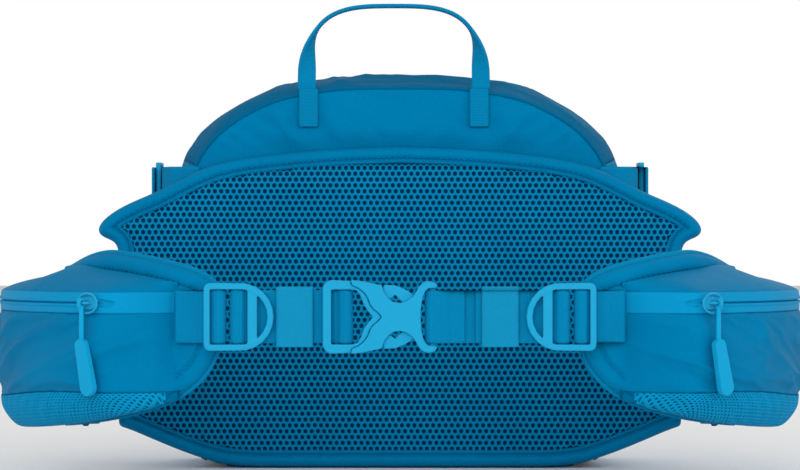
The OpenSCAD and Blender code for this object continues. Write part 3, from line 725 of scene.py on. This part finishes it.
WING_RINGS = (0.4, 1.0, 2.0, 3.2, 4.6, 6.0, 7.0, 7.5, 8.0, 8.5, 9.0, 9.6, 10.4)
wing_stitch = loop_in_space(wing_loop, on_wing, WING_BAND - 0.9, HALF_T - 0.25)
wing_outward = (wing_stitch - AXIS) * [1, 1, 0]
wing_edge = from_gap(wing_loop[wing_loop[:, 0] > 4])
lining_region = ((WING_BAND, WING_LOW), (WING_L, WING_LOW + WING_H + 14),
                 off_edge(wing_loop, WING_BAND + 1.6))

for name, side in SIDES.items():
    body = f"wing_{name}"
    pad(f"wing_cover_{name}", wing_loop, WING_RINGS, 5, wing_out, wing_in, on_wing, body, "pack_cloth",
        [f"wing_{name}"], side=side)
    tube(f"wing_piping_{name}", on_wing(wing_edge, np.zeros(len(wing_edge))), 1.15, body, "binding", flat=1.5,
         up=(0.3, 0.1, 0.95), replaces=[f"wing_binding_{name}"], side=side)
    lining = honeycomb(f"wing_lining_{name}", lining_region, lambda q: HALF_T + 0 * q[:, 0],
                       lambda q, h: on_wing(q, -h), body, side=side)
    lining.data.flip_normals()
    stitches(f"wing_stitches_{name}", wing_stitch, wing_outward, body, side)

# ---------- padded webs that join the wings to the back panel ----------

WEB_X = 144.0  # where the web leaves the panel's edge
WEB_HALF = WING_H / 2 - 2.0
WEB_T = 0.07  # the share of the wing's length that the web covers
web_start = np.array([-WEB_X, panel_face + EDGE])
web_seat = on_wing(np.array([[1.0, 0], [8.0, 0], [14.0, 0]]), np.zeros(3))[:, :2]
web_line = np.vstack([web_start, web_start + [-4, 0], web_start + [-8.2, -1.2], web_seat])
web_path = spaced(web_line, 1.0, False)
for _ in range(4):
    web_path[1:-1] = 0.25 * web_path[:-2] + 0.5 * web_path[1:-1] + 0.25 * web_path[2:]
around = np.linspace(0, 2 * math.pi, 72, endpoint=False)
c, s = np.cos(around), np.sin(around)
rings = []
for i, (p, n) in enumerate(zip(web_path, sideways(web_path, False))):
    share = i / (len(web_path) - 1)
    thick = (4.7 + 0.9 * ease(share * 1.3)) * (1 - 0.12 * math.sin(math.pi * min(1, share * 1.6)))
    w = thick * np.sign(c) * np.abs(c) ** 0.45
    z = wing_mid(WEB_T * share) + WEB_HALF * np.sign(s) * np.abs(s) ** 0.25
    z = z - ROOT_DROP * ease(share * 1.3) * (s > 0)
    rings.append(np.stack([p[0] + n[0] * w, p[1] + n[1] * w, z], 1))
for name, side in SIDES.items():
    web = piece(f"wing_web_{name}", rings, tube_faces(len(rings), len(around)), None, "pack_cloth", side=side)
    weld(web)
    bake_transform(web)

# ---------- wing pockets ----------

POCKET_T0, POCKET_T1 = 0.045, 0.9  # where the pocket starts and ends, as shares of the wing's length
POCKET_DEPTH = 25
POCKET_SEAT = HALF_T + 1.5  # height of the pocket's edges over the middle of the wing
ZIP_Z = AXIS[2]
TAPE_W = 10
POCKET_ROWS = 170
pocket_t = np.linspace(POCKET_T0, POCKET_T1, POCKET_ROWS)
slider_way = place_of("left_pocket_pull") - AXIS
slider_u = (math.atan2(slider_way[1], slider_way[0]) - ROOT_A) % (2 * math.pi) * WING_R


def swell(t):
    tuck = 3.4 * (2 - ease((t - POCKET_T0) / 0.03) - ease((POCKET_T1 - t) / 0.045))
    return 0.8 - tuck + POCKET_DEPTH * ease((t - POCKET_T0) / 0.16) * ease((POCKET_T1 - t) / 0.125)


def pocket_low(t):
    return wing_mid(t) - wing_half(t) + 1.5


def pocket_top(t):
    return wing_top(t) - 3 - 4.5 * ease((t - 0.55) / 0.15)


def mesh_top(t):
    return np.maximum(pocket_low(t) + 0.6, 42 + 5 * ease((t - 0.35) / 0.35))


def curve(p, s):
    """A smooth curve through the points p, at the shares s of the way along."""
    p = np.asarray(p, float)
    m = len(p) - 1
    x = np.clip(s, 0, 1) * m
    i = np.minimum(x.astype(int), m - 1)
    f = (x - i)[:, None]
    a, b, c, d = p[np.maximum(i - 1, 0)], p[i], p[i + 1], p[np.minimum(i + 2, m)]
    bend = (2 * a - 5 * b + 4 * c - d) * f ** 2
    return 0.5 * (2 * b + (c - a) * f + bend + (3 * b - 3 * c + d - a) * f ** 3)


def profile_points(kind, t):
    """What a panel of the pocket curves through at t along the wing, as shares of the swell and heights."""
    z0 = ZIP_Z + TAPE_W / 2
    z1 = ZIP_Z - TAPE_W / 2
    if kind == "top":
        high = pocket_top(t)
        return [[0, high], [0.36, high - 0.26 * (high - z0)], [0.7, high - 0.6 * (high - z0)], [0.98, z0]]
    if kind == "zip":
        return [[0.98, z0], [1, ZIP_Z + 1.5], [1, ZIP_Z - 1.5], [1, z1]]
    a, b = (z1, mesh_top(t)) if kind == "face" else (mesh_top(t), pocket_low(t))
    if kind == "face":
        return [[1, a], [1.03, a - 0.3 * (a - b)], [1.03, a - 0.7 * (a - b)], [0.98, b]]
    return [[0.98, a], [0.93, a - 0.55 * (a - b)], [0.66, b - 2.5], [0.3, b - 3], [0, b]]


def pocket_grid(kind, shares, ts):
    """Flat places (u, z) and outward heights of a grid of points over one panel of the pocket."""
    uz, rise = [], []
    for t in ts:
        q = curve(profile_points(kind, t), shares)
        uz.append(np.stack([np.full(len(q), t * WING_L), q[:, 1]], 1))
        rise.append(POCKET_SEAT + q[:, 0] * swell(t))
    return np.array(uz), np.array(rise)


def cloth_panel(name, kind, cols, slot, body, deep, seed, replaces, side):
    """One sewn panel of the pocket, with slanting folds this deep and puckers along its seams."""
    shares = np.linspace(0, 1, cols)
    uz, rise = pocket_grid(kind, shares, pocket_t)
    u, z = uz[..., 0], uz[..., 1]
    seam = np.minimum(shares, 1 - shares)[None, :] * (z[:, :1] - z[:, -1:])
    full = (rise - rise.min()) / (rise.max() - rise.min())
    slant = np.stack([(u + 0.9 * z).ravel(), (z - 0.45 * u).ravel(), np.full(u.size, seed)], 1)
    sag = folds(slant, (42, 12, 1), seed) - 0.45
    pucker = np.sin(u / 2.1 + 3 * np.sin(u / 17)) * np.exp(-seam / 2.2) * 0.22 * (deep > 0)
    rise = rise + full * ease(seam / 7) * deep * sag.reshape(u.shape) + pucker * full
    rise = rise - 0.55 * np.exp(-(seam / 0.8) ** 2) - (1.4 * ease(seam / 2) if deep == 0 else 0)
    points = on_wing(uz.reshape(-1, 2), rise.ravel())
    return piece(name, points, grid_faces(POCKET_ROWS, cols), body, slot, replaces, thick=1.0, side=side)


TOOTH = 1.25  # from one tooth of a zip to the next


def zip_band(name, node, body, side):
    """The zip's two tapes, its row of teeth under them, the slit, and its open end past the slider."""
    across = np.concatenate([np.linspace(5, 2.4, 8), np.linspace(2.2, -2.2, 31), np.linspace(-2.4, -5, 8)])
    shares = (5 - across) / 10
    ts = np.linspace(POCKET_T0, POCKET_T1, 520)
    uz, rise = pocket_grid("zip", shares, ts)
    u = uz[..., 0]
    o = across[None, :] + 0 * u
    closed = ease((slider_u + 10 - u) / 2)
    gap = ease((u - slider_u - 4) / 1) * ease((slider_u + 11 - u) / 0.6) * (slider_u + 11.5 - u) / 7
    half = 0.22 * closed + 1.9 * np.clip(gap, 0, 1)
    slit = np.exp(-(np.maximum(np.abs(o) - half, 0) / 0.16) ** 2) * np.clip(closed + gap, 0, 1)
    teeth = np.abs(np.sin(math.pi * u / TOOTH)) * np.exp(-((np.abs(o) - 1.2) / 0.6) ** 4)
    rise = rise + closed * (0.4 * np.exp(-((np.abs(o) - 1.1) / 0.9) ** 4) + 0.22 * teeth) - 1.3 * slit
    rise = rise - 0.4 * np.exp(-((5 - np.abs(o)) / 0.5) ** 2)
    points = on_wing(uz.reshape(-1, 2), rise.ravel())
    faces = grid_faces(len(ts), len(across))
    return piece(name, points, faces, body, "zip_tape", [node], thick=0.8, side=side)


def stretch_mesh(name, body, side):
    """The coarse knit under the pocket, over its own layer of cloth painted darker as painted shade."""
    def span(t):
        return 1.15 * np.hypot(swell(t), mesh_top(t) - pocket_low(t))

    def keep(q):
        t = q[:, 0] / WING_L
        return (q[:, 1] < span(t) - 1) & (mesh_top(t) - pocket_low(t) > 2)

    def put(flat, height):
        t = flat[:, 0] / WING_L
        s = flat[:, 1] / span(t)
        out = np.zeros((len(flat), 3))
        for part in np.array_split(np.argsort(t), POCKET_ROWS * 2):
            q = curve(profile_points("mesh", float(t[part].mean())), s[part])
            rise = POCKET_SEAT + 0.1 + q[:, 0] * swell(t[part])
            out[part] = on_wing(np.stack([flat[part, 0], q[:, 1]], 1), rise + height[part])
        return out

    region = ((POCKET_T0 * WING_L + 2, 0.8), (POCKET_T1 * WING_L - 4, 38))
    return honeycomb(name, (*region, keep), lambda q: 0.3 * np.sin(q[:, 0] / 1.3 + q[:, 1] / 1.6), put, body,
                     "stretch_mesh", cell=(1.75, 1.5), depth=0.7, hole=0.5, side=side)


RING_A, RING_B = 5.8, 4.6  # half length and half height of the wire ring round each pocket slider


def slider_ring(name, body, side):
    """The wire ring that lies round the zip slider."""
    pin = place_of("left_pocket_pull")
    way = pin[:2] - AXIS[:2]
    radius = float(np.linalg.norm(way)) - 2.2
    turn = np.arange(48) * 2 * math.pi / 48
    a = math.atan2(way[1], way[0]) + (1.5 + RING_A * np.cos(turn)) / radius
    path = np.stack([AXIS[0] + radius * np.cos(a), AXIS[1] + radius * np.sin(a),
                     pin[2] + RING_B * np.sin(turn)], 1)
    return tube(name, path, 0.62, body, "moulded_plastic", closed=True, up=(way[0], way[1], 0), side=side)


# the pocket's base under the mesh is painted darker, as painted shade
POCKET_PANELS = (("top", "top", 22, "pack_cloth", 2.6, 40), ("face", "face", 44, "pack_cloth", 5.2, 47),
                 ("base", "mesh", 26, "dark_cloth", 0, 49))
for name, side in SIDES.items():
    body = f"wing_{name}"
    for part, kind, cols, slot, deep, seed in POCKET_PANELS:
        cloth_panel(f"wing_pocket_{part}_{name}", kind, cols, slot, body, deep, seed + side,
                    [f"pocket_{kind}_{name}"], side)
    stretch_mesh(f"wing_pocket_mesh_{name}", body, side)
    zip_band(f"wing_pocket_zip_{name}", f"pocket_zip_{name}", body, side)
    moulded(f"pocket_slider_{name}", f"wing_slider_{name}", f"slider_{name}", 0.2, 4)
    slider_ring(f"pocket_slider_ring_{name}", f"slider_{name}", side)
    moulded(f"pocket_pull_{name}", f"wing_pull_{name}", f"pull_{name}", 0.22, 6, "pull_cord")
    webbing(f"anchor_webbing_{name}", f"wing_anchor_{name}", body)

# ---------- belt ----------

for name in SIDES:
    body = f"strap_{name}"
    moulded(f"ladder_lock_moulding_{name}", f"ladder_lock_{name}", body, 0.3, 7)
    webbing(f"belt_strap_{name}", f"belt_webbing_{name}", body)
    webbing(f"elastic_keeper_{name}", f"keeper_{name}", f"keeper_{name}", axis=0, slot="elastic", rib=1.05,
            depth=0.16)
moulded("buckle_male_moulding", "buckle_male", "strap_left", 0.3, 6)
moulded("buckle_female_moulding", "buckle_female", "strap_right", 0.3, 6)
moulded("upper_prong_moulding", "prong_upper", "prong_upper", 0.28, 5)
moulded("lower_prong_moulding", "prong_lower", "prong_lower", 0.28, 5)

# ---------- bag ----------

bag_back_y = box_mm("bag_back")[0][1]
bag_rear_y = box_mm("bag_top")[1][1]
SEAM_INSET = 7.5  # how far the bag's cloth is drawn in at its back seam
back_loop = rounded(outlines("bag_back", 1, -1)[0], 1.8, 3)
right_foot = int(np.argmax(back_loop[:, 0] - 2 * back_loop[:, 1]))
left_foot = int(np.argmax(-back_loop[:, 0] - 2 * back_loop[:, 1]))
arch_line = np.roll(back_loop, -right_foot, 0)[:(left_foot - right_foot) % len(back_loop) + 1]
arch_line = spaced(arch_line, 1.8, False)
arch_out = -sideways(arch_line, False)
bag_depth = bag_rear_y - bag_back_y
depths = np.concatenate([np.linspace(1.0, 6, 6), np.linspace(7.5, bag_depth - 4, 30),
                         np.linspace(bag_depth - 2.8, bag_depth + 1, 5)])
rows = []
for y in depths:
    rear = max(0, y - (depths[-1] - 13)) / 13
    inset = SEAM_INSET * max(0, 1 - y / 30) ** 2 + 4.2 * rear ** 2
    ring = arch_line + arch_out * (SEAM_INSET + 0.3 - inset) * ease(arch_line[:, 1] / 60)[:, None]
    rows.append(upright(ring, bag_back_y + y))
rows = np.array(rows)
seam = np.minimum(depths - depths[0], depths[-1] - depths)[:, None] * np.ones(rows.shape[:2])
creases = folds(rows.reshape(-1, 3), (46, 22, 46), 61).reshape(rows.shape[:2]) - 0.45
puckers = np.sin(np.arange(len(arch_line)) * 1.1)[None] * np.exp(-seam / 3) * 0.25
lift = ease(seam / 9) * 3.0 * creases * ease(rows[..., 2] / 30) + puckers - 0.4 * np.exp(-(seam / 0.8) ** 2)
rows[..., 0] += lift * arch_out[None, :, 0]
rows[..., 2] += lift * arch_out[None, :, 1]
TOP_Z = 157.0  # above this the bag's cloth is painted darker, as painted shade on the top that turns away from the light
high = arch_line[:, 1] > TOP_Z
first, last = int(np.argmax(high)), len(high) - int(np.argmax(high[::-1]))
for part, a, b, slot in (("bag_side_right", 0, first + 1, "pack_cloth"),
                         ("bag_top", first, last, "dark_cloth"),
                         ("bag_side_left", last - 1, len(arch_line), "pack_cloth")):
    grid = rows[:, a:b]
    piece(f"{part}_cloth", grid, grid_faces(*grid.shape[:2]), "pack", slot, [part], thick=1.2, offset=1)


def on_bag_back(flat, height):
    return upright(flat, bag_back_y - height)


flat, faces, d = filled([back_loop], (0.8, 1.8, 3.2, 5), 3.0)
tilted = np.stack([np.abs(flat[:, 0]) + 0.9 * flat[:, 1], 0 * d, flat[:, 1] - 0.7 * np.abs(flat[:, 0])], 1)
above = ease((flat[:, 1] - 163) / 14)
shoulder = 0.4 + 0.6 * ease((np.abs(flat[:, 0]) - 35) / 30)
slack = 7.0 * shoulder * (folds(tilted, (58, 1, 11), 71) - 0.5) * ease(d / 8)
height = above * (2.4 * (1 - np.exp(-d / 12)) + slack)
height = height - 0.3 + 0.2 * np.sin(flat[:, 0] * 1.9) * np.exp(-d / 2.5) * above
for name in SIDES:  # the handle's sewn ends hold the cloth flat
    tab_low, tab_high = box_mm(f"handle_tab_{name}")
    beside = np.abs(flat[:, 0] - (tab_low[0] + tab_high[0]) / 2)
    held = ease((12 - beside) / 6) * ease((flat[:, 1] - tab_low[2] + 6) / 6)
    height = height * (1 - held) - 0.3 * held
piece("bag_back_cloth", on_bag_back(flat, height), faces, "pack", "pack_cloth", ["bag_back"], thick=1.0)
# the piping at the back seam is painted darker, as painted shade
tube("bag_back_piping", upright(arch_line, bag_back_y + 0.4), 0.9, "pack", "dark_cloth")
low, high_corner = box_mm("bag_bottom")
foot = np.array([[low[0], low[1]], [high_corner[0], low[1]],
                 [high_corner[0], high_corner[1]], [low[0], high_corner[1]]])
flat, faces, d = filled([rounded(foot, 2.5, 1)], (1.5, 3), 6)
base = np.stack([flat[:, 0], flat[:, 1], 0.05 + 0.5 * (1 - round_edge(d, 3))], 1)
# the bag's underside is painted darker, as painted shade
piece("bag_bottom_cloth", base, flipped(faces), "pack", "dark_cloth", ["bag_bottom"], thick=1.4)

# ---------- haul handle ----------

low, high_corner = box_mm("haul_handle")
HANDLE_W, HANDLE_T = 9.5, 1.9
handle_mid = (low + high_corner) / 2
half_x = (high_corner[0] - low[0]) / 2 - HANDLE_W / 2
rise = high_corner[2] - low[2] - HANDLE_T / 2 - 0.3
angles = np.linspace(-math.pi / 2, math.pi / 2, 400)
handle_line = np.stack([handle_mid[0] + half_x * np.sign(angles) * np.abs(np.sin(angles)) ** (2 / 3.3),
                        low[2] + rise * np.maximum(np.cos(angles), 0) ** (2 / 3.3)], 1)
handle_line = np.pad(spaced(handle_line, STEP, False), ((12, 12), (0, 0)), "edge")
handle_line = np.stack([np.convolve(handle_line[:, k], np.ones(25) / 25, "valid") for k in (0, 1)], 1)
n = len(handle_line)
share = np.abs(2 * np.arange(n) / (n - 1) - 1)
turn = np.radians(90) * ease((1 - share) * 2.2)
flat_dir = upright(-sideways(handle_line, False), 0)
deep_dir = np.array([0, 1.0, 0])[None]
wide = flat_dir * np.cos(turn)[:, None] + deep_dir * np.sin(turn)[:, None]
thin = -flat_dir * np.sin(turn)[:, None] + deep_dir * np.cos(turn)[:, None]
centre = upright(handle_line, handle_mid[1])
around = np.linspace(0, 2 * math.pi, 36, endpoint=False)
w = np.sign(np.cos(around)) * np.abs(np.cos(around)) ** 0.35 * HANDLE_W / 2
h = np.sign(np.sin(around)) * np.abs(np.sin(around)) ** 0.5 * HANDLE_T / 2
rib = 0.13 * np.abs(np.sin(math.pi * np.arange(n) * STEP / RIB))[:, None, None]
loops = centre[:, None] + wide[:, None] * w[None, :, None] + thin[:, None] * (
    h[None, :, None] + rib * np.sign(np.sin(around))[None, :, None])
feet = []  # a round end at each foot, about the joint
for end in (0, -1):
    rings = np.repeat(loops[end][None], 3, 0)
    rings[:, :, 1] = handle_mid[1] + (rings[:, :, 1] - handle_mid[1]) * np.array([1.0, 0.85, 0.5])[:, None]
    rings[:, :, 2] = low[2] - np.array([0, 0.6, 1.0])[:, None]
    feet.append(rings[::-1] if end == 0 else rings)
loops = np.concatenate([feet[0], loops, feet[1]])
faces = tube_faces(len(loops), len(around))
weld(piece("haul_handle_webbing", loops, faces, "handle", "webbing", ["haul_handle"]))
for name in SIDES:
    webbing(f"handle_tab_webbing_{name}", f"handle_tab_{name}", "pack", axis=0)

# ---------- side straps ----------

for name in SIDES:
    webbing(f"side_anchor_webbing_{name}", f"side_anchor_{name}", "pack")
    webbing(f"side_strap_webbing_{name}", f"side_strap_{name}", "pack")
    moulded(f"side_lock_moulding_{name}", f"side_lock_{name}", "pack", 0.28, 5)

# ---------- bag front, its arched zip and the front pocket ----------

front_y = box_mm("bag_front")[1][1]
front_loops = [rounded(p, 1.8, 1) for p in outlines("bag_front", 1, 1)]
flat, faces, d = filled(front_loops, (0.8, 2, 3.5), 4)
outer_d = distance(flat, front_loops[:1])
height = 1.6 * round_edge(outer_d, 9) - 1.4
height = height + 1.6 * (folds(upright(flat, 0), (30, 1, 30), 81) - 0.5) * ease(d / 6)
height = height - 0.4 * np.exp(-(d / 0.9) ** 2)
piece("bag_front_cloth", upright(flat, front_y + height), flipped(faces), "pack", "pack_cloth", ["bag_front"],
      thick=1.2)
front_edge = upright(front_loops[0], front_y - 1.2)
tube("bag_front_piping", from_gap(front_edge[front_edge[:, 2] > 4]), 1.2, "pack", "binding")

flap_low, flap_high = box_mm("main_flap")
flap_loop = rounded(outlines("main_flap", 1, 1)[0], 1.8, 1)
flat, faces, d = filled([flap_loop], (0.8, 2, 3.5), 4)
height = 0.8 * (1 - np.exp(-d / 8)) + (folds(upright(flat, 0), (34, 1, 34), 91) - 0.6) * ease(d / 8)
piece("main_flap_cloth", upright(flat, flap_high[1] + height), flipped(faces), "flap", "pack_cloth",
      ["main_flap"], thick=1.0)

ARCH_Z = place_of("main_zip_left")[2]
ARCH_R = 92.0
ARCH_FOOT = flap_low[2]


def zip_half(name, line, sign, put, body, replaces):
    """One tape of a zip along a line, on the side of sign, with its row of teeth next to the middle."""
    o = sign * np.concatenate([np.linspace(0.2, 2.2, 12), np.linspace(2.6, 4.8, 5)])
    along = np.arange(len(line)) * STEP
    teeth = np.abs(np.sin(math.pi * along / TOOTH))[:, None] * np.exp(-((np.abs(o) - 1.1) / 0.6) ** 4)[None]
    height = 0.55 * np.exp(-((np.abs(o) - 1.1) / 0.9) ** 4)[None] + 0.25 * teeth
    grid = line[:, None] + sideways(line, False)[:, None] * o[None, :, None]
    points = put(grid.reshape(-1, 2), height.ravel())
    faces = grid_faces(len(line), len(o))
    if sign > 0:
        faces = flipped(faces)
    return piece(name, points, faces, body, "zip_tape", replaces, thick=0.8, offset=0)


turns = np.linspace(math.pi, 0, 200)
arch_top = np.stack([ARCH_R * np.cos(turns), ARCH_Z + ARCH_R * np.sin(turns)], 1)
arch_zip = spaced(np.vstack([[[-ARCH_R, ARCH_FOOT]], arch_top, [[ARCH_R, ARCH_FOOT]]]), STEP, False)
zip_face = box_mm("main_zip_tape")[0][1] + 1.0


def on_front(flat, height):
    return upright(flat, zip_face + height)


zip_half("main_zip_outer_tape", arch_zip, 1, on_front, "pack", ["main_zip_tape"])
zip_half("main_zip_inner_tape", arch_zip, -1, on_front, "flap", ["flap_zip_tape"])
for name in SIDES:
    moulded(f"main_slider_moulding_{name}", f"main_slider_{name}", f"main_slider_{name}", 0.2, 4)
    moulded(f"main_pull_moulding_{name}", f"main_pull_{name}", f"main_pull_{name}", 0.22, 6, "pull_cord")

pocket_y = box_mm("front_pocket")[0][1]
face_y = box_mm("front_pocket_face")[1][1]
pocket_loop = rounded(outlines("front_pocket", 1, -1)[0], 1.6, 2)
front_zip_z = place_of("front_pull_swing")[2] + 0.1


def front_crown(flat, d):
    free = ease((np.abs(flat[:, 1] - front_zip_z) - 4) / 8)
    slack = 1.7 * (folds(upright(flat, 0), (30, 1, 24), 95) - 0.5) * ease(d / 8)
    return 0.7 * (1 - np.exp(-d / 6)) + free * (1.6 * round_edge(d, 26) + slack)


zip_holes = [spaced(p, 1.6) for p in outlines("front_pocket_face", 1, 1)[1:2]]
flat, faces, d = filled([pocket_loop] + zip_holes, (0.8, 2, 3.5), 3.2)
edge_d = distance(flat, [pocket_loop])
height = front_crown(flat, edge_d) - 1.2 * (1 - round_edge(edge_d, 3)) - 0.3 * np.exp(-(d / 0.7) ** 2)
piece("front_pocket_face_cloth", upright(flat, face_y + height), flipped(faces), "flap", "pack_cloth",
      ["front_pocket_face"], thick=1.1)
wall_y = np.linspace(pocket_y - 0.2, face_y - 1.0, 14)
loop_out = -sideways(pocket_loop)
wall = []
for k, y in enumerate(wall_y):
    share = k / (len(wall_y) - 1)
    q = upright(pocket_loop, y)
    sag = 1.4 * math.sin(math.pi * share) * (folds(q, (16, 30, 16), 97) - 0.35)
    wall.append(q + upright(loop_out * sag[:, None], 0))
wall = np.array(wall)
# the pocket's side wall is painted darker, as painted shade
piece("front_pocket_wall", wall, grid_faces(*wall.shape[:2], wrap_cols=True), "flap", "dark_cloth",
      ["front_pocket"], thick=1.1, offset=1)
tube("front_pocket_piping", upright(pocket_loop, face_y - 0.7), 1.0, "flap", "binding", closed=True)
tape_low, tape_high = box_mm("front_zip_tape")
line = spaced(np.array([[tape_low[0], front_zip_z], [tape_high[0], front_zip_z]]), STEP, False)


def on_pocket(flat, height):
    return upright(flat, face_y + 0.2 + height)


for part, sign in (("upper", 1), ("lower", -1)):
    zip_half(f"front_zip_{part}_tape", line, sign, on_pocket, "flap", ["front_zip_tape"] if sign > 0 else [])
moulded("front_slider_moulding", "front_slider", "front_slider", 0.2, 4)
moulded("front_pull_moulding", "front_pull", "front_pull", 0.22, 6, "pull_cord")

finish_piece(frame["nodes"]["frame_sheet"], None, "frame_sheet")
